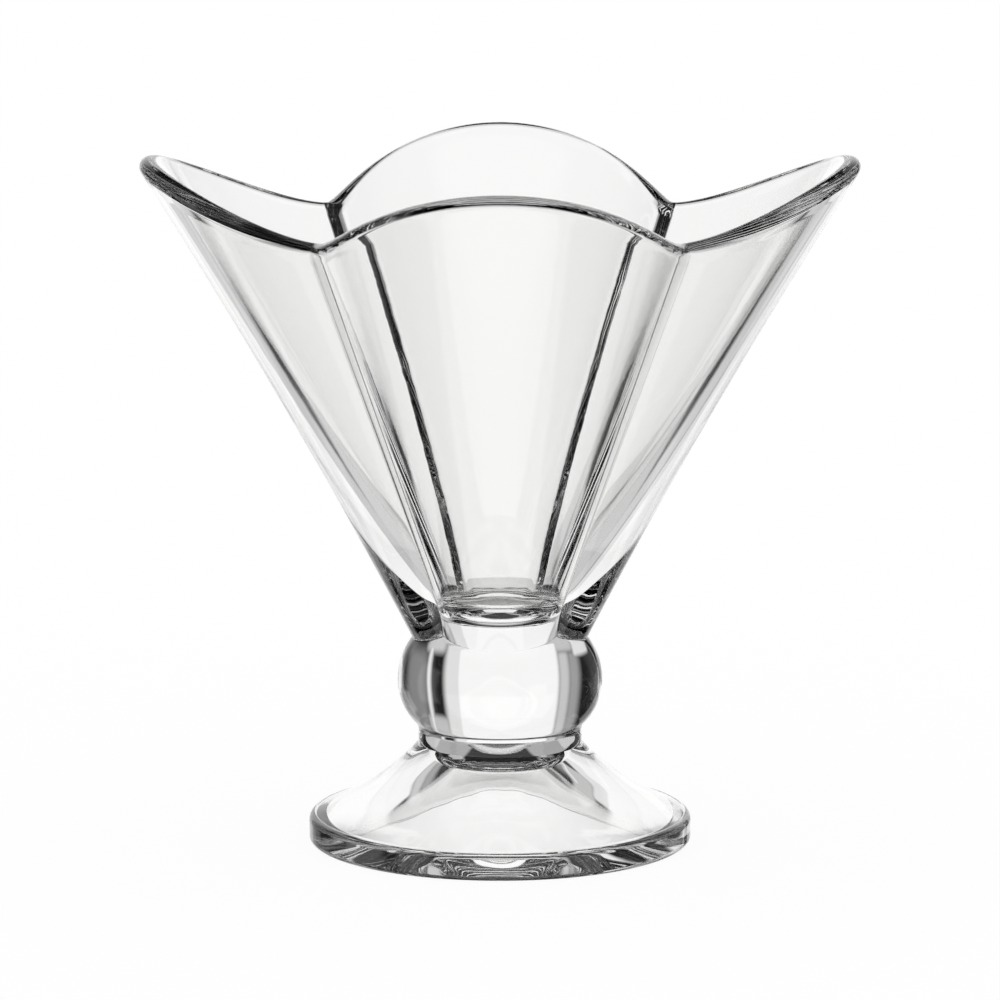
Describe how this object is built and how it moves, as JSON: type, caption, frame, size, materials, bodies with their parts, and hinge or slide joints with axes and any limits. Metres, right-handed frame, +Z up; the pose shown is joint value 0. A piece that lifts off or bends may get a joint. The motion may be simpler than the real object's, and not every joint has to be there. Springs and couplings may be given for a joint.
{
  "type": "parfait glass",
  "caption": "Footed parfait glass of clear pressed glass: a flared bowl with a petal-shaped rim on a round knop, a plain collar and a foot that is hollow underneath.",
  "frame": {"origin": "middle of the foot's resting face", "axes": "+Z up along the glass's axis, with the petals of the rim along X and Y"},
  "size_m": [0.1178, 0.1178, 0.114],
  "materials": {
    "clear_glass": "clear pressed glass, fire-polished"
  },
  "bodies": {
    "root": {"foot": "clear_glass", "collar": "clear_glass", "knop": "clear_glass", "bowl": "clear_glass"}
  },
  "joints": []
}
